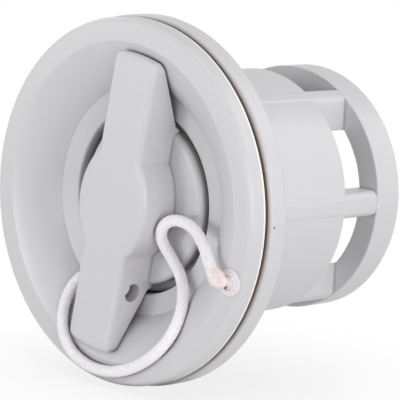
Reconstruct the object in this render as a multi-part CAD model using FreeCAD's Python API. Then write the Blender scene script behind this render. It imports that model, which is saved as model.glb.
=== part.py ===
# Inflatable boat valve cap: a dished front flange that screws into a flanged rear sleeve,
# with a screw plug, its rubber seal and a white cord that keeps the plug on the flange.
# All lengths are in millimetres and all angles in degrees.
# The valve's axis is Y. Y = 0 is the face of the rear flange that bears on the hull skin.
# The dish faces -Y, the sleeve points to +Y and +Z is up.
import FreeCAD
import Part

import math
import os

Vector = FreeCAD.Vector
AXIS = Vector(0, 1, 0)
ORIGIN = Vector(0, 0, 0)
TOLERANCE = 1e-6

# Flanges
rear_flange_radius = 45.3
rear_flange_thickness = 5.3
rear_flange_back_round = 0.4
rear_flange_bevel_height = 0.95
rear_flange_bevel_width = 0.7
gasket_thickness = 0.85
gasket_width = 3.0
gasket_inset = 0.7
front_flange_inset = 0.6
front_rim_thickness = 4.9
front_rim_round = 1.2
front_rim_back_round = 0.3

# Dish
bore_radius = 22.9
bore_mouth_round = 0.5
dish_floor_width = 5.2
dish_floor_rise = 0.85
dish_depth = 8.05
dish_slope_bulge = 1.7
dish_slope_round_share = 0.9
dish_wall = 2.2
rim_band_width = 5.7
rim_band_round = 0.8

# Plug
disc_gap = 2.3
plug_disc_thickness = 3.0
plug_disc_round = 1.6
plug_proud = 0.3
plug_neck_inset = 1.8
plug_skirt_wall = 3.0
plug_skirt_round = 0.6

# Handle of the plug
handle_turn = 9.9
handle_height = 10.3
handle_tip_radius = 36.9
handle_arm_half_width = 7.2
handle_boss_half_width = 11.7
handle_boss_arc_radius = 18.0
handle_tip_thickness = 2.6
handle_root_overhang = 0.1
handle_corner_round = 2.0
handle_crease_round = 0.3
handle_edge_round = 1.4

# Seal under the plug's disc
seal_thickness = 2.85
seal_neck_clearance = 0.08
seal_bore_clearance = 0.3
seal_face_clearance = 0.05
seal_round = 0.8

# Thread between the plug and its socket
thread_pitch = 5.0
thread_height = 1.4
thread_root_width = 1.9
thread_crest_width = 0.9
thread_bury = 0.3
thread_clearance = 0.2
thread_turns = 3.0
thread_start = 1.6
thread_end_margin = 2.45

# Spigot of the front flange, which screws into the rear sleeve
spigot_wall = 3.4
spigot_overrun = 2.0
spigot_chamfer = 0.8
spigot_shoulder = 1.2
screw_joint_clearance = 0.2

# Rear sleeve with its cage of six ribs and its end ring
sleeve_radius = 30.9
sleeve_length = 36.6
sleeve_root_fillet = 4.0
rib_stand = 0.2
end_ring_stand = 0.4
window_length = 11.8
end_ring_length = 8.2
end_ring_round = 0.3
rib_round = 2.0
rib_round_share = 0.34
side_rib_half_width = 3.25
corner_rib_inner = 13.2
corner_rib_outer = 18.5

# Cord with its hole and knot pocket in the handle
cord_diameter = 2.7
cord_hole_clearance = 0.4
cord_hole_reach = 21.0
cord_hole_depth = 5.5
knot_pocket_radius = 2.3
knot_pocket_depth = 5.0
knot_clearance = 0.3
knot_inset = 2.6
knot_round = 0.9

# Eyelet of the cord and its boss on the dish
eyelet_band_offset = 2.0
eyelet_angle = -18.5
eyelet_proud = 0.5
eyelet_clearance = 0.45
eyelet_wall = 0.5
eyelet_lip_width = 0.6
eyelet_lip_height = 0.5
eyelet_lip_round = 0.25
eyelet_rim_width = 0.85
eyelet_head_thickness = 1.0
eyelet_head_round = 0.4
eyelet_shank_length = 0.9
eyelet_boss_step = 0.3

# How far a cutting tool runs past the face that it cuts
cut_margin = 1.0

# Route of the cord from its knot in the handle to its end in the eyelet
cord_route = [
    (-1.4, -8.1, -20.9),
    (-7.1, -8.1, -19.9),
    (-12.7, -8.4, -19.4),
    (-16.8, -9.2, -23.0),
    (-18.5, -10.3, -28.1),
    (-17.1, -12.1, -33.3),
    (-13.8, -12.6, -38.2),
    (-8.3, -12.6, -40.9),
    (-1.7, -12.6, -41.7),
    (5.2, -12.6, -40.6),
    (11.9, -12.6, -37.7),
    (18.0, -12.2, -33.1),
    (21.7, -11.0, -27.4),
    (21.0, -7.9, -21.7),
    (17.3, -4.9, -16.4),
    (13.8, -5.4, -11.8),
    (11.6, -6.8, -8.3),
    (12.4, -8.3, -4.9),
    (14.4, -7.8, -2.5),
    (17.9, -7.1, -1.9),
    (23.2, -7.6, -3.0),
    (28.6, -9.8, -6.0),
    (32.6, -12.1, -8.7),
    (35.4, -13.6, -10.6),
    (37.3, -14.0, -12.1),
    (38.88, -12.6, -13.01),
    (38.88, -9.9, -13.01),
]
cord_arc_share = 0.45

# Radii that follow from the sizes above
front_flange_radius = rear_flange_radius - front_flange_inset
dish_crease_radius = bore_radius + dish_floor_width
rim_band_inner_radius = front_flange_radius - rim_band_width
plug_disc_radius = bore_radius - disc_gap
plug_neck_radius = plug_disc_radius - plug_neck_inset
socket_root_radius = plug_neck_radius + thread_height + thread_clearance
spigot_radius = bore_radius + spigot_wall
spigot_seat_radius = spigot_radius + screw_joint_clearance
cage_bore_radius = spigot_radius - spigot_shoulder
rib_radius = sleeve_radius + rib_stand
end_ring_radius = sleeve_radius + end_ring_stand
cord_hole_radius = cord_diameter / 2 + cord_hole_clearance
eyelet_reach = rim_band_inner_radius + eyelet_band_offset
eyelet_hole_radius = cord_diameter / 2 + eyelet_clearance
eyelet_shank_radius = eyelet_hole_radius + eyelet_wall
eyelet_lip_radius = eyelet_hole_radius + eyelet_lip_width
eyelet_head_radius = eyelet_lip_radius + eyelet_rim_width

# Places along the axis that follow from the sizes above
rear_flange_front_y = -rear_flange_thickness
front_flange_back_y = rear_flange_front_y - gasket_thickness
rim_crest_y = front_flange_back_y - front_rim_thickness
bore_mouth_y = rim_crest_y + dish_depth
dish_crease_y = bore_mouth_y - dish_floor_rise
dish_back_y = dish_crease_y + dish_wall
plug_face_y = bore_mouth_y - plug_proud
plug_disc_back_y = plug_face_y + plug_disc_thickness
handle_face_y = plug_face_y - handle_height
seat_y = plug_disc_back_y + seal_thickness + 2 * seal_face_clearance
thread_end_y = seat_y + thread_start + thread_pitch * thread_turns
plug_skirt_end_y = thread_end_y + thread_end_margin
spigot_end_y = plug_skirt_end_y + spigot_overrun
window_end_y = sleeve_length + window_length
sleeve_end_y = window_end_y + end_ring_length
rib_end_y = window_end_y + end_ring_length / 2
eyelet_front_y = rim_crest_y - eyelet_proud
eyelet_lip_y = eyelet_front_y - eyelet_lip_height
eyelet_boss_y = eyelet_front_y + eyelet_head_thickness
eyelet_hole_end_y = eyelet_boss_y + eyelet_shank_length


def corner_arc(before, corner, after, radius):
    """The tangent arc of one rounded corner: start, middle and end point."""
    towards_before = (before - corner).normalize()
    towards_after = (after - corner).normalize()
    half_angle = towards_before.getAngle(towards_after) / 2
    setback = radius / math.tan(half_angle)
    start = corner + towards_before * setback
    end = corner + towards_after * setback
    bisector = (towards_before + towards_after).normalize()
    centre = corner + bisector * (radius / math.sin(half_angle))
    return start, centre - bisector * radius, end


def rounded_outline(points):
    """A closed wire through (radius, y, rounding) points in the XY plane."""
    corners = [Vector(point[0], point[1], 0) for point in points]
    rounds = [point[2] if len(point) > 2 else 0 for point in points]
    edges = []
    ends = []
    for index, corner in enumerate(corners):
        if rounds[index] == 0:
            ends.append((corner, corner))
            continue
        after = corners[(index + 1) % len(corners)]
        start, middle, end = corner_arc(corners[index - 1], corner, after, rounds[index])
        ends.append((start, end))
        edges.append(Part.Arc(start, middle, end).toShape())
    for index in range(len(ends)):
        start = ends[index][1]
        end = ends[(index + 1) % len(ends)][0]
        edges.append(Part.LineSegment(start, end).toShape())
    return Part.Wire(Part.__sortEdges__(edges))


def turned(points):
    """A solid of revolution about the valve's axis."""
    return Part.Face(rounded_outline(points)).revolve(ORIGIN, AXIS, 360)


def cylinder_along_y(radius, start_y, end_y, x=0, z=0):
    return Part.makeCylinder(radius, end_y - start_y, Vector(x, start_y, z), AXIS)


def block(x_range, y_range, z_range):
    size = [pair[1] - pair[0] for pair in (x_range, y_range, z_range)]
    return Part.makeBox(size[0], size[1], size[2], Vector(x_range[0], y_range[0], z_range[0]))


def edges_where(shape, wanted):
    """Edges for which wanted(edge) is true."""
    return [edge for edge in shape.Edges if wanted(edge)]


def is_along_y(edge):
    ends = [vertex.Point for vertex in edge.Vertexes]
    if len(ends) != 2:
        return False
    step = ends[1] - ends[0]
    return math.hypot(step.x, step.z) < TOLERANCE


def lies_at_y(edge, y):
    return all(abs(vertex.Y - y) < TOLERANCE for vertex in edge.Vertexes)


def radius_of(edge):
    """Distance of an edge's first end from the valve's axis."""
    point = edge.Vertexes[0].Point
    return math.hypot(point.x, point.z)


def dish_back_radius(y):
    """Radius of the cone behind the dish, one wall thickness from the line that spans its slope."""
    run = rim_band_inner_radius - dish_crease_radius
    rise = dish_crease_y - rim_crest_y
    slant = math.hypot(run, rise)
    start_radius = dish_crease_radius + dish_wall * rise / slant
    start_y = dish_crease_y + dish_wall * run / slant
    return start_radius + (start_y - y) * run / rise


def dish_slope_knee():
    """The rounded corner that makes the dish's slope bulge forwards, halfway along it."""
    run = rim_band_inner_radius - dish_crease_radius
    rise = dish_crease_y - rim_crest_y
    slant = math.hypot(run, rise)
    radius = dish_crease_radius + run / 2 - dish_slope_bulge * rise / slant
    y = dish_crease_y - rise / 2 - dish_slope_bulge * run / slant
    largest_round = math.hypot(slant / 2, dish_slope_bulge) * slant / 2 / dish_slope_bulge
    return radius, y, dish_slope_round_share * largest_round


def thread_ridge(root_radius, outwards, start_y):
    """A right-handed trapezoid ridge on a wall of the given radius."""
    height = thread_height if outwards else -thread_height
    bury = -thread_bury if outwards else thread_bury
    half_root = thread_root_width / 2
    half_crest = thread_crest_width / 2
    section = Part.makePolygon([
        Vector(root_radius + bury, 0, -half_root),
        Vector(root_radius, 0, -half_root),
        Vector(root_radius + height, 0, -half_crest),
        Vector(root_radius + height, 0, half_crest),
        Vector(root_radius, 0, half_root),
        Vector(root_radius + bury, 0, half_root),
        Vector(root_radius + bury, 0, -half_root),
    ])
    helix = Part.makeLongHelix(thread_pitch, thread_pitch * thread_turns, root_radius, 0)
    sweep = Part.BRepOffsetAPI.MakePipeShell(Part.Wire(helix.Edges))
    sweep.setBiNormalMode(Vector(0, 0, 1))
    sweep.add(section)
    sweep.build()
    sweep.makeSolid()
    ridge = sweep.shape()
    ridge.rotate(ORIGIN, Vector(1, 0, 0), -90)
    ridge.translate(Vector(0, start_y, 0))
    return ridge


def eyelet_centre():
    angle = math.radians(eyelet_angle)
    return Vector(eyelet_reach * math.cos(angle), 0, eyelet_reach * math.sin(angle))


def cylinder_at_eyelet(radius, start_y, end_y):
    centre = eyelet_centre()
    return cylinder_along_y(radius, start_y, end_y, centre.x, centre.z)


def ahead_of_flange_back():
    """Everything in front of the back of the dish, out to the flange's edge."""
    return turned([
        (0, rim_crest_y),
        (front_flange_radius, rim_crest_y),
        (front_flange_radius, front_flange_back_y),
        (dish_back_radius(front_flange_back_y), front_flange_back_y),
        (dish_back_radius(dish_back_y), dish_back_y),
        (0, dish_back_y),
    ])


def make_front_flange():
    """Dish, rim and socket in one moulding, with the boss of the eyelet."""
    body = turned([
        (front_flange_radius, rim_crest_y, front_rim_round),
        (front_flange_radius, front_flange_back_y, front_rim_back_round),
        (dish_back_radius(front_flange_back_y), front_flange_back_y),
        (dish_back_radius(dish_back_y), dish_back_y),
        (spigot_radius, dish_back_y),
        (spigot_radius, spigot_end_y - spigot_chamfer),
        (spigot_radius - spigot_chamfer, spigot_end_y),
        (socket_root_radius, spigot_end_y),
        (socket_root_radius, seat_y),
        (bore_radius, seat_y),
        (bore_radius, bore_mouth_y, bore_mouth_round),
        (dish_crease_radius, dish_crease_y),
        dish_slope_knee(),
        (rim_band_inner_radius, rim_crest_y, rim_band_round),
    ])
    boss = cylinder_at_eyelet(eyelet_head_radius - eyelet_boss_step, eyelet_boss_y, dish_back_y)
    body = body.fuse(boss.common(ahead_of_flange_back()))
    body = body.cut(cylinder_at_eyelet(eyelet_shank_radius, eyelet_front_y, eyelet_hole_end_y))
    body = body.cut(cylinder_at_eyelet(eyelet_head_radius, rim_crest_y - cut_margin, eyelet_boss_y))
    return body.fuse(thread_ridge(socket_root_radius, False, seat_y + thread_start + thread_pitch / 2))


def make_rear_sleeve():
    """Rear flange, tube, ribs and end ring in one moulding."""
    recess_end_y = dish_back_y + screw_joint_clearance
    socket_end_y = spigot_end_y + screw_joint_clearance
    body = turned([
        (dish_back_radius(rear_flange_front_y) + screw_joint_clearance, rear_flange_front_y),
        (rear_flange_radius - rear_flange_bevel_width, rear_flange_front_y),
        (rear_flange_radius, rear_flange_front_y + rear_flange_bevel_height),
        (rear_flange_radius, 0, rear_flange_back_round),
        (sleeve_radius, 0, sleeve_root_fillet),
        (sleeve_radius, sleeve_length),
        (cage_bore_radius, sleeve_length),
        (cage_bore_radius, socket_end_y),
        (spigot_seat_radius, socket_end_y),
        (spigot_seat_radius, recess_end_y),
        (dish_back_radius(recess_end_y) + screw_joint_clearance, recess_end_y),
    ])
    ring = turned([
        (end_ring_radius, window_end_y, end_ring_round),
        (end_ring_radius, sleeve_end_y, end_ring_round),
        (cage_bore_radius, sleeve_end_y, end_ring_round),
        (cage_bore_radius, window_end_y, end_ring_round),
    ])
    return body.fuse([ring] + cage_ribs()).removeSplitter()


def cage_ribs():
    """Two ribs at the sides and four at the corners."""
    side = make_rib((0, 2 * rib_radius), (-side_rib_half_width, side_rib_half_width))
    corner = make_rib((corner_rib_inner, corner_rib_outer), (0, 2 * rib_radius))
    ribs = [side, corner, corner.mirror(ORIGIN, Vector(0, 0, 1))]
    return ribs + [rib.mirror(ORIGIN, Vector(1, 0, 0)) for rib in ribs]


def make_rib(x_range, z_range):
    """A rib from the flange into the end ring, with its two outer edges rounded."""
    tube = cylinder_along_y(rib_radius, 0, rib_end_y)
    tube = tube.cut(cylinder_along_y(cage_bore_radius, 0, rib_end_y))
    rib = block(x_range, (0, rib_end_y), z_range).common(tube)
    outer = edges_where(rib, lambda edge: is_along_y(edge) and radius_of(edge) > sleeve_radius)
    largest_round = rib_round_share * (rib_radius - cage_bore_radius)
    rib = rib.makeFillet(min(rib_round, largest_round), outer)
    return rib.cut(cylinder_along_y(spigot_seat_radius, 0, spigot_end_y + screw_joint_clearance))


def make_gasket():
    outer = front_flange_radius - gasket_inset
    disc = cylinder_along_y(outer, front_flange_back_y, rear_flange_front_y)
    return disc.cut(cylinder_along_y(outer - gasket_width, front_flange_back_y, rear_flange_front_y))


def make_seal():
    """Rubber ring between the plug's disc and the ledge of the socket."""
    inner = plug_neck_radius + seal_neck_clearance
    outer = bore_radius - seal_bore_clearance
    front = plug_disc_back_y + seal_face_clearance
    back = seat_y - seal_face_clearance
    return turned([
        (inner, front),
        (outer, front, seal_round),
        (outer, back, seal_round),
        (inner, back),
    ])


def make_handle():
    """Wing handle, with its length along Z before it is turned."""
    foot_y = plug_face_y + plug_disc_thickness / 2
    half = handle_arm_half_width
    reach = handle_tip_radius
    plan = block((-half, half), (handle_face_y, foot_y), (-2 * reach, 2 * reach))
    plan = plan.common(cylinder_along_y(reach, handle_face_y, foot_y))
    offset = handle_boss_arc_radius - handle_boss_half_width
    boss = cylinder_along_y(handle_boss_arc_radius, handle_face_y, foot_y, x=offset)
    boss = boss.common(cylinder_along_y(handle_boss_arc_radius, handle_face_y, foot_y, x=-offset))
    plan = plan.fuse(boss).removeSplitter()
    tips = edges_where(plan, lambda edge: is_along_y(edge) and radius_of(edge) > reach - TOLERANCE)
    plan = plan.makeFillet(handle_corner_round, tips)
    creases = edges_where(plan, lambda edge: is_along_y(edge) and radius_of(edge) < reach / 2)
    plan = plan.makeFillet(handle_crease_round, creases)
    rim = edges_where(plan, lambda edge: lies_at_y(edge, handle_face_y))
    plan = plan.makeFillet(handle_edge_round, rim)
    return plan.common(handle_side_view(foot_y))


def handle_side_view(foot_y):
    """The handle seen from its side: full height at the disc, thin at both tips."""
    root = plug_disc_radius + handle_root_overhang
    inside = plug_disc_radius - plug_disc_round / 3
    half_outline = [
        (handle_tip_radius, handle_face_y),
        (handle_tip_radius, handle_face_y + handle_tip_thickness),
        (root, plug_face_y + handle_root_overhang),
        (inside, foot_y),
    ]
    points = [Vector(0, y, z) for z, y in half_outline]
    points += [Vector(0, y, -z) for z, y in reversed(half_outline)]
    side = Part.Face(Part.makePolygon(points + points[:1]))
    side.translate(Vector(-handle_boss_half_width, 0, 0))
    return side.extrude(Vector(2 * handle_boss_half_width, 0, 0))


def along_cord_hole(radius, start_x, end_x):
    """A cylinder on the line of the hole across the lower arm, before the handle is turned."""
    start = Vector(start_x, handle_face_y + cord_hole_depth, -cord_hole_reach)
    return Part.makeCylinder(radius, end_x - start_x, start, Vector(1, 0, 0))


def turn_with_handle(shape):
    shape.rotate(ORIGIN, AXIS, handle_turn)
    return shape


def make_plug():
    """Disc, wing handle and threaded skirt in one moulding."""
    skirt_bore_radius = plug_neck_radius - plug_skirt_wall
    skirt_floor_y = plug_disc_back_y + plug_skirt_round
    body = turned([
        (0, plug_face_y),
        (plug_disc_radius, plug_face_y, plug_disc_round),
        (plug_disc_radius, plug_disc_back_y),
        (plug_neck_radius, plug_disc_back_y),
        (plug_neck_radius, plug_skirt_end_y, plug_skirt_round),
        (skirt_bore_radius, plug_skirt_end_y, plug_skirt_round),
        (skirt_bore_radius, skirt_floor_y, plug_skirt_round),
        (0, skirt_floor_y),
    ])
    flank = handle_arm_half_width
    pocket_floor = flank - knot_pocket_depth
    handle = make_handle()
    handle = handle.cut(along_cord_hole(cord_hole_radius, -flank - cut_margin, flank))
    handle = handle.cut(along_cord_hole(knot_pocket_radius, pocket_floor, flank + cut_margin))
    body = body.fuse(turn_with_handle(handle))
    return body.fuse(thread_ridge(plug_neck_radius, True, seat_y + thread_start))


def make_eyelet():
    """Hollow rivet with a raised lip, which holds the end of the cord on the rim."""
    rivet = turned([
        (eyelet_hole_radius, eyelet_lip_y, eyelet_lip_round),
        (eyelet_lip_radius, eyelet_lip_y, eyelet_lip_round),
        (eyelet_lip_radius, eyelet_front_y),
        (eyelet_head_radius, eyelet_front_y, eyelet_head_round),
        (eyelet_head_radius, eyelet_boss_y),
        (eyelet_shank_radius, eyelet_boss_y),
        (eyelet_shank_radius, eyelet_hole_end_y),
        (eyelet_hole_radius, eyelet_hole_end_y),
    ])
    rivet.translate(eyelet_centre())
    return rivet


def make_knot():
    """Stopper knot of the cord, in its pocket in the handle's flank."""
    radius = knot_pocket_radius - knot_clearance
    start = handle_arm_half_width - knot_pocket_depth + knot_clearance
    knot = along_cord_hole(radius, start, handle_arm_half_width - knot_inset)
    knot = knot.makeFillet(knot_round, edges_where(knot, lambda edge: len(edge.Vertexes) == 1))
    return turn_with_handle(knot)


def make_cord():
    """Round tube along the route, whose corners are arcs as large as their runs allow."""
    points = [Vector(*point) for point in cord_route]
    edges = []
    run_start = points[0]
    for before, corner, after in zip(points, points[1:], points[2:]):
        half_turn = (corner - before).getAngle(after - corner) / 2
        shorter_run = min((corner - before).Length, (after - corner).Length)
        radius = cord_arc_share * shorter_run / math.tan(half_turn)
        start, middle, end = corner_arc(before, corner, after, radius)
        edges.append(Part.LineSegment(run_start, start).toShape())
        edges.append(Part.Arc(start, middle, end).toShape())
        run_start = end
        print("cord arc radius", round(radius, 1))
    edges.append(Part.LineSegment(run_start, points[-1]).toShape())
    path = Part.Wire(edges)
    circle = Part.makeCircle(cord_diameter / 2, points[0], points[1] - points[0])
    tube = path.makePipeShell([Part.Wire(circle)], True, False)
    expected = math.pi * (cord_diameter / 2) ** 2 * path.Length
    print("cord length", round(path.Length, 1), "volume", round(tube.Volume, 1), "of", round(expected, 1))
    return tube


def save(shape, name):
    print(name, "solids", len(shape.Solids), "valid", shape.isValid(), "volume", round(shape.Volume, 1))
    shape.Solids[0].exportStep(os.path.join("parts", name + ".step"))


def main():
    os.makedirs("parts", exist_ok=True)
    save(make_front_flange(), "front_flange")
    save(make_rear_sleeve(), "rear_sleeve")
    save(make_gasket(), "flange_gasket")
    save(make_plug(), "plug")
    save(make_seal(), "plug_seal")
    save(make_eyelet(), "cord_eyelet")
    save(make_knot(), "cord_knot")
    save(make_cord(), "cord")


main()
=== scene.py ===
import math

import bpy
from mathutils import Matrix, Vector


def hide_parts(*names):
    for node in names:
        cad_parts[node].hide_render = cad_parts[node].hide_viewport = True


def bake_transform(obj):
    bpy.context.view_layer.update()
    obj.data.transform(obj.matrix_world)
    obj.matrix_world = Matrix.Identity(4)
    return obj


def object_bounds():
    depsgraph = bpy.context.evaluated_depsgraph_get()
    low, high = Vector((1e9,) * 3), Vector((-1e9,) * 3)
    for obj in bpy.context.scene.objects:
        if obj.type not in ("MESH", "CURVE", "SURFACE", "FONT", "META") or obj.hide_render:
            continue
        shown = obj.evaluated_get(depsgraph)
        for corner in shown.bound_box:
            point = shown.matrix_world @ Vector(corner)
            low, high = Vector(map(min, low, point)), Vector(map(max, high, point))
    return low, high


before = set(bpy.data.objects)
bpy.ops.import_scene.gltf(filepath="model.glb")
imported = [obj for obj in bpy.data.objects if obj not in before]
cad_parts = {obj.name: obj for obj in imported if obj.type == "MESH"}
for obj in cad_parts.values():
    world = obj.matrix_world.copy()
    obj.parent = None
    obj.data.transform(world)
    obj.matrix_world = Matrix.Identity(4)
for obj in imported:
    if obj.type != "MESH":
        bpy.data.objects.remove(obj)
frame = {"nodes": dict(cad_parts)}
cad_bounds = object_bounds()


def display_colour(red, green, blue):
    """A colour as the display shows it, from 0 to 255, in linear values."""
    shares = [(value / 255 + 0.055) / 1.055 for value in (red, green, blue)]
    return (*(share ** 2.4 for share in shares), 1)


# Camera, at the photograph's angle, with its lens and sensor in millimetres
CAMERA_TARGET = (0.00848, 0.00850, 0.00049)
CAMERA_DISTANCE = 0.58686
CAMERA_AZIMUTH = 44.72
CAMERA_ELEVATION = 8.68
CAMERA_ROLL = 3.0
CAMERA_LENS = 216
CAMERA_SENSOR = 36

# Route of the cord from its knot in the handle to its end in the eyelet
CORD_ROUTE = [
    (-0.0014, -0.0081, -0.0209),
    (-0.0071, -0.0081, -0.0199),
    (-0.0127, -0.0084, -0.0194),
    (-0.0168, -0.0092, -0.023),
    (-0.0185, -0.0103, -0.0281),
    (-0.0171, -0.0121, -0.0333),
    (-0.0138, -0.0126, -0.0382),
    (-0.0083, -0.0126, -0.0409),
    (-0.0017, -0.0126, -0.0417),
    (0.0052, -0.0126, -0.0406),
    (0.0119, -0.0126, -0.0377),
    (0.018, -0.0122, -0.0331),
    (0.0217, -0.011, -0.0274),
    (0.021, -0.0079, -0.0217),
    (0.0173, -0.0049, -0.0164),
    (0.0138, -0.0054, -0.0118),
    (0.0116, -0.0068, -0.0083),
    (0.0124, -0.0083, -0.0049),
    (0.0144, -0.0078, -0.0025),
    (0.0179, -0.0071, -0.0019),
    (0.0232, -0.0076, -0.003),
    (0.0286, -0.0098, -0.006),
    (0.0326, -0.0121, -0.0087),
    (0.0354, -0.0136, -0.0106),
    (0.0373, -0.014, -0.0121),
    (0.03888, -0.0126, -0.01301),
    (0.03888, -0.0099, -0.01301),
]
ROUTE_RESOLUTION = 24

# Braid of the cord: strands each way, length of one turn, height over the core, the core's
# radius, mesh points round the cord and step along it, then how flat a strand's top is and
# how far it dips where it goes under another
BRAID_STRANDS = 8
BRAID_PITCH = 0.0098
BRAID_HEIGHT = 0.00015
BRAID_CORE = 0.0013
BRAID_SIDES = 64
BRAID_STEP = 0.00015
STRAND_SHAPE = 2.6
STRAND_DIP = 0.55

# How far the strands wander, and the waves of that: radians per metre along the cord, turns
# round it and start
BRAID_WANDER = 0.05
WANDER_WAVES = [(420, 1, 0), (1130, -2, 1), (2650, 1, 2)]

# Melted end of the cord: distances from the end, and the radius there. It fills the eyelet's
# hole, has a neck above the lip and a blob ahead of that.
END_PROFILE = [
    (0.0, 0.00172),
    (0.00195, 0.00172),
    (0.0023, 0.0007),
    (0.0026, 0.00115),
    (0.0031, 0.00162),
    (0.0038, 0.00192),
    (0.0046, 0.00202),
    (0.0056, 0.00188),
    (0.007, 0.00148),
    (0.0084, BRAID_CORE),
]

# Distances from the end between which the braid turns into melt, and between which the part
# in the hole does
MELT_START = 0.0092
MELT_END = 0.0048
MELT_INSIDE = 0.0019
MELT_NECK = 0.0023

# Height of the ripple on the blob, and its waves: turns round it and radians per metre
MELT_RIPPLE = 0.00005
RIPPLE_WAVES = [(3, 2100), (5, -3400)]

# Colours of the pieces
MOULDING_GREY = display_colour(208, 207, 210)
EYELET_PALE = display_colour(231, 226, 229)
GASKET_BLACK = display_colour(24, 19, 17)
SEAL_GREY = display_colour(146, 143, 147)
CORD_WHITE = display_colour(255, 251, 255)
# Painted shade in the gaps between the braid's strands
PAINTED_GAP_SHADE = display_colour(233, 229, 237)
MELT_PALE = display_colour(243, 233, 232)
MELT_DARK = display_colour(230, 209, 205)
# Colour of the painted shade in crevices and creases
PAINTED_SHADE_COLOUR = display_colour(92, 82, 77)

# Painted shade by how open a place is: reach, openness with full shade, openness with none,
# strength
DEEP_PAINTED_SHADE = (0.01, 0.1, 0.46, 0.75)
CREASE_PAINTED_SHADE = (0.0008, 0.6, 0.95, 0.35)
PAINTED_SHADE_SAMPLES = 12

# Spots: place, radius and colour
FLANGE_SPECK = ((0.0453, -0.0039, 0.0002), 0.0004, display_colour(120, 105, 110))
RIB_SPECK = ((0.0313, 0.0489, -0.00054), 0.00035, display_colour(245, 243, 240))
# Painted shade: a dark spot on the melted end where the eyelet's hole opens beside it
PAINTED_OPENING_SHADE = ((0.03825, -0.0123, -0.01383), 0.0013, display_colour(84, 58, 52))

# Edges with painted light: radius outside which they lie, Y where they are full, Y where they end,
# colour
# A painted highlight along the front flange's back edge
PAINTED_HIGHLIGHT_EDGE = (0.0438, -0.0066, -0.007, display_colour(253, 250, 244))
# Painted shade on the sleeve's bevel beside the gap between the flanges
PAINTED_SHADE_BEVEL = (0.0435, -0.0053, -0.0046, display_colour(140, 126, 120))

# Noise patterns: scale and detail
CLOUDS = (70, 3)
GRAIN = (2600, 2)
MOTTLE = (900, 4)
THREADS = (3500, 3)
PATCHES = (450, 2)
LUMPS = (1100, 2)

# Bumps: strength and height
GRAIN_BUMP = (0.12, 0.00004)
MOTTLE_BUMP = (0.4, 0.00005)
THREAD_BUMP = (0.35, 0.00005)

# Plastic: shades of its clouds, roughness, and how the clouds change that
CLOUD_SHADES = (0.985, 1.015)
MOULDING_ROUGHNESS = 0.36
EYELET_ROUGHNESS = 0.35
CLOUD_ROUGHNESS = (-0.04, 0.05)

# Rubber: shades of its mottle, then roughness and specular level of each ring
MOTTLE_SHADES = (0.6, 1.5)
GASKET_GLOSS = (0.8, 0.1)
SEAL_GLOSS = (0.3, 0.5)

# Fibre: shade of its threads, and the values of its shader with how deep light gets in
THREAD_SHADE = 0.9
FIBRE_ROUGHNESS = 0.85
FIBRE_SHEEN = 0.4
FIBRE_SUBSURFACE = 0.4
FIBRE_DEPTH = 0.002

# Painted shade in the gaps between the strands: relief at which it ends, and how a patch noise
# weakens it, from one range to another
GAP_RELIEF = 0.75
PATCH_RANGE = (0.3, 0.7, 0.35, 1.0)

# Melted end: where in the lump noise its colour goes from dark to pale
LUMP_RANGE = (0.35, 0.65)

# Light: square lamps, all at one distance, by azimuth from the front, elevation, size and
# power in watts
WORLD_STRENGTH = 0.03
SOFTBOX_DISTANCE = 0.9
SOFTBOXES = [
    ("key", -21, -2, 0.22, 3.4),
    ("left_front", -50, 0, 0.3, 1.4),
    ("key_high", -10, 28, 0.3, 0.4),
    ("front_right", 50, 8, 0.3, 1.75),
    ("right_low", 90, -4, 0.45, 3.35),
    ("right_front", 72, 5, 0.45, 2.2),
    ("left", -90, 35, 0.45, 1.4),
    ("left_high", -45, 62, 0.45, 0.9),
    ("top", 60, 80, 0.45, 1.6),
    ("back_high", 120, 55, 0.45, 1.2),
    ("back_right", 135, 5, 0.45, 0.55),
    ("back", 150, 35, 0.45, 1.05),
]

# Floor, and its shadow by how open a place is: reach, openness with full shadow, and how white
# that shadow is
FLOOR_SIZE = 3.0
FLOOR_PALE = 0.85
SHADOW_REACH = 0.045
SHADOW_FULL = 0.3
SHADOW_WHITE = 0.86
SHADOW_SAMPLES = 16


def make_camera():
    """A long lens at the photograph's azimuth, elevation and roll."""
    data = bpy.data.cameras.new("camera")
    data.lens = CAMERA_LENS
    data.sensor_width = CAMERA_SENSOR
    camera = bpy.data.objects.new("camera", data)
    turn = Matrix.Rotation(math.radians(CAMERA_AZIMUTH), 4, "Z")
    tilt = Matrix.Rotation(math.radians(90 - CAMERA_ELEVATION), 4, "X")
    roll = Matrix.Rotation(math.radians(CAMERA_ROLL), 4, "Z")
    aim = turn @ tilt @ roll
    place = Vector(CAMERA_TARGET) + aim.to_3x3() @ Vector((0, 0, CAMERA_DISTANCE))
    camera.matrix_world = Matrix.Translation(place) @ aim
    bpy.context.scene.collection.objects.link(camera)
    bpy.context.scene.camera = camera


def link_mesh(name, points, faces):
    mesh = bpy.data.meshes.new(name)
    mesh.from_pydata(points, [], faces)
    mesh.update()
    mesh.shade_smooth()
    piece = bpy.data.objects.new(name, mesh)
    bpy.context.scene.collection.objects.link(piece)
    return piece


def spline_through(route):
    """Points along a quadratic spline that has the route's points as its control points."""
    curve = bpy.data.curves.new("route", "CURVE")
    curve.dimensions = "3D"
    curve.resolution_u = ROUTE_RESOLUTION
    spline = curve.splines.new("NURBS")
    spline.points.add(len(route) - 1)
    for point, place in zip(spline.points, route):
        point.co = (*place, 1)
    spline.order_u = 3
    spline.use_endpoint_u = True
    holder = bpy.data.objects.new("route", curve)
    mesh = bpy.data.meshes.new_from_object(holder)
    points = [vertex.co.copy() for vertex in mesh.vertices]
    bpy.data.meshes.remove(mesh)
    bpy.data.objects.remove(holder)
    bpy.data.curves.remove(curve)
    return points


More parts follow.
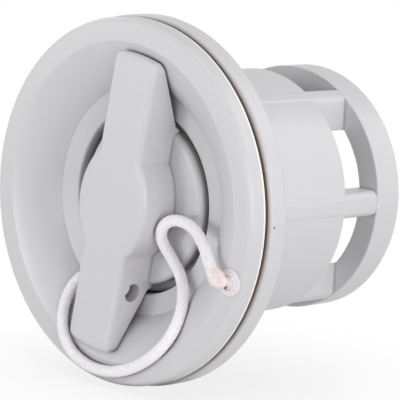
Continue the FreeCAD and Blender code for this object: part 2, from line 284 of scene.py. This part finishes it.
def evenly_spaced(points, step):
    """Evenly spaced points along a line of points, about a step apart, and the line's length."""
    lengths = [0.0]
    for before, after in zip(points, points[1:]):
        lengths.append(lengths[-1] + (after - before).length)
    count = round(lengths[-1] / step)
    spaced = []
    index = 0
    for number in range(count + 1):
        wanted = lengths[-1] * number / count
        while index < len(points) - 2 and lengths[index + 1] < wanted:
            index += 1
        span = lengths[index + 1] - lengths[index]
        share = (wanted - lengths[index]) / span
        spaced.append(points[index].lerp(points[index + 1], share))
    return spaced, lengths[-1]


def carried_frames(points):
    """For each point, two directions across the line that don't twist along it."""
    frames = []
    across = Vector((0, 1, 0))
    for index in range(len(points)):
        before = points[max(index - 1, 0)]
        after = points[min(index + 1, len(points) - 1)]
        along = (after - before).normalized()
        across = (across - along * across.dot(along)).normalized()
        frames.append((across, along.cross(across)))
    return frames


def wandering(turn, distance):
    """A slow change along and round the cord, from -1 to 1, that makes its braid uneven."""
    waves = [
        math.sin(along * distance + 2 * math.pi * around * turn + start)
        for along, around, start in WANDER_WAVES
    ]
    return sum(waves) / len(waves)


def braid_height(turn, distance):
    """Height of the braid, from 0 to 1, where turn runs from 0 to 1 round the cord."""
    shift = BRAID_WANDER * wandering(turn, distance)
    right = BRAID_STRANDS * (turn - distance / BRAID_PITCH + shift)
    left = BRAID_STRANDS * (turn + distance / BRAID_PITCH + shift / 2)
    if (math.floor(right) + math.floor(left)) % 2:
        right, left = left, right
    side = abs(2 * (right % 1) - 1)
    along = abs(2 * (left % 1) - 1)
    return (1 - side ** STRAND_SHAPE) * (1 - STRAND_DIP * along ** 2)


def smooth_step(low, high, value):
    share = min(max((value - low) / (high - low), 0), 1)
    return share * share * (3 - 2 * share)


def cord_radius(to_end):
    """Radius of the cord's core at a distance from its end."""
    for (near, near_radius), (far, far_radius) in zip(END_PROFILE, END_PROFILE[1:]):
        if to_end < far:
            share = (to_end - near) / (far - near)
            return near_radius + (far_radius - near_radius) * share
    return BRAID_CORE


def melted_share(to_end):
    """How far the fibre has melted: 0 on the braid and in the hole, 1 on the blob between."""
    ahead = 1 - smooth_step(MELT_END, MELT_START, to_end)
    return ahead * smooth_step(MELT_INSIDE, MELT_NECK, to_end)


def melt_ripple(angle, to_end):
    return MELT_RIPPLE * sum(
        math.sin(around * angle + along * to_end) for around, along in RIPPLE_WAVES
    )


def add_values(piece, name, values):
    """A value for each point of a mesh, which its material reads."""
    attribute = piece.data.attributes.new(name, "FLOAT", "POINT")
    attribute.data.foreach_set("value", values)


def braided_tube(name, points):
    """A closed tube along the points, with the relief of a braid that ends in a melted blob."""
    step = (points[1] - points[0]).length
    length = step * (len(points) - 1)
    places = []
    reliefs = []
    melts = []
    for index, (point, (first, second)) in enumerate(zip(points, carried_frames(points))):
        distance = index * step
        to_end = length - distance
        core = cord_radius(to_end)
        melt = melted_share(to_end)
        for side in range(BRAID_SIDES):
            turn = side / BRAID_SIDES
            angle = 2 * math.pi * turn
            relief = braid_height(turn, distance)
            radius = core + BRAID_HEIGHT * relief * (1 - melt) + melt_ripple(angle, to_end) * melt
            places.append(point + (first * math.cos(angle) + second * math.sin(angle)) * radius)
            reliefs.append(relief)
            melts.append(melt)
    faces = []
    for ring in range(len(points) - 1):
        low = ring * BRAID_SIDES
        high = low + BRAID_SIDES
        for side in range(BRAID_SIDES):
            after = (side + 1) % BRAID_SIDES
            faces.append((low + side, low + after, high + after, high + side))
    last = len(points) * BRAID_SIDES
    faces.append(tuple(reversed(range(BRAID_SIDES))))
    faces.append(tuple(range(last - BRAID_SIDES, last)))
    tube = link_mesh(name, places, faces)
    add_values(tube, "relief", reliefs)
    add_values(tube, "melt", melts)
    return tube


def make_cord():
    points, length = evenly_spaced(spline_through(CORD_ROUTE), BRAID_STEP)
    cord = braided_tube("braided_cord", points)
    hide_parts("cord")
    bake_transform(cord)
    return cord


def new_material(name):
    material = bpy.data.materials.new(name)
    material.use_nodes = True
    nodes = material.node_tree.nodes
    return material, nodes, material.node_tree.links, nodes["Principled BSDF"]


def set_input(links, socket, value):
    """Gives a socket a number or a colour, or links it to another socket."""
    if isinstance(value, (int, float, tuple)):
        socket.default_value = value
    else:
        links.new(value, socket)


def mixed(nodes, links, share, low, high):
    """A colour between two colours or sockets, by a share from 0 to 1."""
    mix = nodes.new("ShaderNodeMix")
    mix.data_type = "RGBA"
    links.new(share, mix.inputs["Factor"])
    set_input(links, mix.inputs["A"], low)
    set_input(links, mix.inputs["B"], high)
    return mix.outputs["Result"]


def ranged(nodes, links, value, low, high, to_low=0.0, to_high=1.0):
    """A value carried from one range to another and kept inside it."""
    node = nodes.new("ShaderNodeMapRange")
    node.inputs["From Min"].default_value = low
    node.inputs["From Max"].default_value = high
    node.inputs["To Min"].default_value = to_low
    node.inputs["To Max"].default_value = to_high
    links.new(value, node.inputs["Value"])
    return node.outputs["Result"]


def combined(nodes, links, operation, first, second):
    """The result of a calculation with two numbers or sockets."""
    node = nodes.new("ShaderNodeMath")
    node.operation = operation
    set_input(links, node.inputs[0], first)
    set_input(links, node.inputs[1], second)
    return node.outputs[0]


def noise(nodes, links, place, pattern):
    """A noise pattern, given by its scale and detail, that is fixed to the object."""
    node = nodes.new("ShaderNodeTexNoise")
    node.inputs["Scale"].default_value, node.inputs["Detail"].default_value = pattern
    links.new(place, node.inputs["Vector"])
    return node.outputs["Fac"]


def roughen(nodes, links, shader, height, bump):
    """Makes a pattern stand out of the surface, by a strength and a height."""
    node = nodes.new("ShaderNodeBump")
    node.inputs["Strength"].default_value, node.inputs["Distance"].default_value = bump
    links.new(height, node.inputs["Height"])
    links.new(node.outputs["Normal"], shader.inputs["Normal"])


def openness(nodes, reach, samples):
    """How open a place is, from 0 in a crevice to 1, seen over a reach."""
    node = nodes.new("ShaderNodeAmbientOcclusion")
    node.samples = samples
    node.inputs["Distance"].default_value = reach
    return node.outputs["AO"]


def object_place(nodes):
    return nodes.new("ShaderNodeTexCoord").outputs["Object"]


def point_value(nodes, name):
    attribute = nodes.new("ShaderNodeAttribute")
    attribute.attribute_name = name
    return attribute.outputs["Fac"]


def shade(colour, factor):
    return (*(part * factor for part in colour[:3]), 1)


def shaded(nodes, links, share, colour, shades):
    """The colour between its darker and its lighter shade."""
    low, high = shades
    return mixed(nodes, links, share, shade(colour, low), shade(colour, high))


def on_edge(nodes, links, place, radius, start_y, end_y):
    """1 at start_y and 0 at end_y along the valve's axis, but only outside a radius from it."""
    parts = nodes.new("ShaderNodeSeparateXYZ")
    links.new(place, parts.inputs[0])
    flat = nodes.new("ShaderNodeCombineXYZ")
    links.new(parts.outputs["X"], flat.inputs["X"])
    links.new(parts.outputs["Z"], flat.inputs["Z"])
    reach = nodes.new("ShaderNodeVectorMath")
    reach.operation = "LENGTH"
    links.new(flat.outputs[0], reach.inputs[0])
    outside = combined(nodes, links, "GREATER_THAN", reach.outputs["Value"], radius)
    along = ranged(nodes, links, parts.outputs["Y"], start_y, end_y, 1.0, 0.0)
    return combined(nodes, links, "MULTIPLY", outside, along)


def spotted(nodes, links, place, tint, spots):
    """The tint with round spots, each full up to half its radius and faded out at its edge."""
    for point, radius, colour in spots:
        distance = nodes.new("ShaderNodeVectorMath")
        distance.operation = "DISTANCE"
        distance.inputs[1].default_value = point
        links.new(place, distance.inputs[0])
        share = ranged(nodes, links, distance.outputs["Value"], radius / 2, radius, 1.0, 0.0)
        tint = mixed(nodes, links, share, tint, colour)
    return tint


def plastic(name, colour, roughness, painted_shade=(), spots=(), painted_light_edge=None):
    """Satin moulded plastic with faint clouding, fine grain, painted shade, spots, painted light
    on an edge.
    """
    material, nodes, links, shader = new_material(name)
    place = object_place(nodes)
    clouds = noise(nodes, links, place, CLOUDS)
    tint = shaded(nodes, links, clouds, colour, CLOUD_SHADES)
    # Painted shade: the colour darkens where nearby surfaces close a place in
    for reach, full, none, strength in painted_shade:
        open_share = openness(nodes, reach, PAINTED_SHADE_SAMPLES)
        shade_share = ranged(nodes, links, open_share, full, none, strength, 0.0)
        tint = mixed(nodes, links, shade_share, tint, PAINTED_SHADE_COLOUR)
    # A band of painted light along an edge: a painted highlight or painted shade
    if painted_light_edge:
        *lines, painted_light_colour = painted_light_edge
        tint = mixed(nodes, links, on_edge(nodes, links, place, *lines), tint, painted_light_colour)
    tint = spotted(nodes, links, place, tint, spots)
    links.new(tint, shader.inputs["Base Color"])
    glossy, dull = (roughness + change for change in CLOUD_ROUGHNESS)
    links.new(ranged(nodes, links, clouds, 0.0, 1.0, glossy, dull), shader.inputs["Roughness"])
    roughen(nodes, links, shader, noise(nodes, links, place, GRAIN), GRAIN_BUMP)
    return material


def rubber(name, colour, gloss):
    """Rubber with a soft mottle."""
    material, nodes, links, shader = new_material(name)
    mottle = noise(nodes, links, object_place(nodes), MOTTLE)
    tint = shaded(nodes, links, mottle, colour, MOTTLE_SHADES)
    links.new(tint, shader.inputs["Base Color"])
    roughness, specular = gloss
    shader.inputs["Roughness"].default_value = roughness
    shader.inputs["Specular IOR Level"].default_value = specular
    roughen(nodes, links, shader, mottle, MOTTLE_BUMP)
    return material


def braided_tint(nodes, links, place, tint):
    """The tint with painted shade in the strands' gaps, weaker in patches, and the melted end."""
    # Painted shade in the gaps between the strands, weakened in patches
    gap_shade = ranged(nodes, links, point_value(nodes, "relief"), 0.0, GAP_RELIEF, 1.0, 0.0)
    patchiness = ranged(nodes, links, noise(nodes, links, place, PATCHES), *PATCH_RANGE)
    patchy_gap_shade = combined(nodes, links, "MULTIPLY", gap_shade, patchiness)
    tint = mixed(nodes, links, patchy_gap_shade, tint, PAINTED_GAP_SHADE)
    uneven = ranged(nodes, links, noise(nodes, links, place, LUMPS), *LUMP_RANGE)
    molten = mixed(nodes, links, uneven, MELT_DARK, MELT_PALE)
    return mixed(nodes, links, point_value(nodes, "melt"), tint, molten)


def fibre(name, braided, spots=()):
    """White textile fibre with fine threads, which reads the cord's values where it is braided."""
    material, nodes, links, shader = new_material(name)
    place = object_place(nodes)
    threads = noise(nodes, links, place, THREADS)
    tint = mixed(nodes, links, threads, shade(CORD_WHITE, THREAD_SHADE), CORD_WHITE)
    if braided:
        tint = braided_tint(nodes, links, place, tint)
    tint = spotted(nodes, links, place, tint, spots)
    links.new(tint, shader.inputs["Base Color"])
    shader.inputs["Roughness"].default_value = FIBRE_ROUGHNESS
    shader.inputs["Sheen Weight"].default_value = FIBRE_SHEEN
    shader.inputs["Subsurface Weight"].default_value = FIBRE_SUBSURFACE
    shader.inputs["Subsurface Radius"].default_value = (FIBRE_DEPTH,) * 3
    shader.inputs["Subsurface Scale"].default_value = 1.0
    roughen(nodes, links, shader, threads, THREAD_BUMP)
    return material


def paint(piece, material):
    piece.data.materials.clear()
    piece.data.materials.append(material)


def paint_pieces(cord):
    nodes = frame["nodes"]
    # Painted shade in the crevices and creases of the moulded pieces
    painted_shade = (DEEP_PAINTED_SHADE, CREASE_PAINTED_SHADE)
    # The flange gets a painted highlight on its back edge, the sleeve painted shade on its bevel
    finishes = {
        "front_flange": plastic(
            "flange_plastic", MOULDING_GREY, MOULDING_ROUGHNESS, painted_shade, painted_light_edge=PAINTED_HIGHLIGHT_EDGE
        ),
        "rear_sleeve": plastic(
            "sleeve_plastic", MOULDING_GREY, MOULDING_ROUGHNESS, painted_shade,
            [FLANGE_SPECK, RIB_SPECK], PAINTED_SHADE_BEVEL,
        ),
        "plug": plastic("plug_plastic", MOULDING_GREY, MOULDING_ROUGHNESS, painted_shade),
        "flange_gasket": rubber("gasket_rubber", GASKET_BLACK, GASKET_GLOSS),
        "plug_seal": rubber("seal_rubber", SEAL_GREY, SEAL_GLOSS),
        "cord_eyelet": plastic("eyelet_plastic", EYELET_PALE, EYELET_ROUGHNESS),
        "cord_knot": fibre("knot_fibre", braided=False),
    }
    for name, material in finishes.items():
        paint(nodes[name], material)
    # The cord carries a dark spot of painted shade at the eyelet's hole
    paint(cord, fibre("cord_fibre", braided=True, spots=[PAINTED_OPENING_SHADE]))


def softbox(name, azimuth, elevation, size, power):
    """A square area lamp that looks at the object from the given direction."""
    data = bpy.data.lights.new(name, "AREA")
    data.shape = "SQUARE"
    data.size = size
    data.energy = power
    lamp = bpy.data.objects.new(name, data)
    turn = math.radians(azimuth)
    rise = math.radians(elevation)
    flat = math.cos(rise)
    away = Vector((math.sin(turn) * flat, -math.cos(turn) * flat, math.sin(rise)))
    lamp.location = away * SOFTBOX_DISTANCE
    lamp.rotation_euler = away.to_track_quat("Z", "Y").to_euler()
    bpy.context.scene.collection.objects.link(lamp)


def white_where_seen(nodes, links, shown, lit):
    """Joins a shader for the camera, reflections and clear materials with one that gives light."""
    path = nodes.new("ShaderNodeLightPath").outputs
    seen = combined(nodes, links, "MAXIMUM", path["Is Camera Ray"], path["Is Glossy Ray"])
    also = combined(nodes, links, "MAXIMUM", seen, path["Is Transmission Ray"])
    mix = nodes.new("ShaderNodeMixShader")
    links.new(also, mix.inputs["Fac"])
    links.new(lit, mix.inputs[1])
    links.new(shown, mix.inputs[2])
    return mix.outputs[0]


def make_world():
    world = bpy.data.worlds.new("studio")
    world.use_nodes = True
    nodes = world.node_tree.nodes
    links = world.node_tree.links
    lit = nodes["Background"]
    shown = nodes.new("ShaderNodeBackground")
    for background, strength in ((lit, WORLD_STRENGTH), (shown, 1)):
        background.inputs["Color"].default_value = (1, 1, 1, 1)
        background.inputs["Strength"].default_value = strength
    both = white_where_seen(nodes, links, shown.outputs[0], lit.outputs[0])
    links.new(both, nodes["World Output"].inputs["Surface"])
    bpy.context.scene.world = world


def make_floor():
    """White with a faint shadow to the camera, a pale diffuse surface to the light."""
    height = cad_bounds[0].z
    half = FLOOR_SIZE / 2
    sides = ((-half, -half), (half, -half), (half, half), (-half, half))
    floor = link_mesh("floor", [(x, y, height) for x, y in sides], [(0, 1, 2, 3)])
    material, nodes, links, shader = new_material("floor")
    nodes.remove(shader)
    pale = nodes.new("ShaderNodeBsdfDiffuse")
    pale.inputs["Color"].default_value = (FLOOR_PALE, FLOOR_PALE, FLOOR_PALE, 1)
    white = nodes.new("ShaderNodeEmission")
    open_share = openness(nodes, SHADOW_REACH, SHADOW_SAMPLES)
    shadow = ranged(nodes, links, open_share, SHADOW_FULL, 1.0, SHADOW_WHITE, 1.0)
    links.new(shadow, white.inputs["Strength"])
    both = white_where_seen(nodes, links, white.outputs[0], pale.outputs[0])
    links.new(both, nodes["Material Output"].inputs["Surface"])
    paint(floor, material)


def main():
    make_camera()
    paint_pieces(make_cord())
    make_world()
    for settings in SOFTBOXES:
        softbox(*settings)
    make_floor()
    bpy.context.scene.view_settings.view_transform = "Standard"


main()
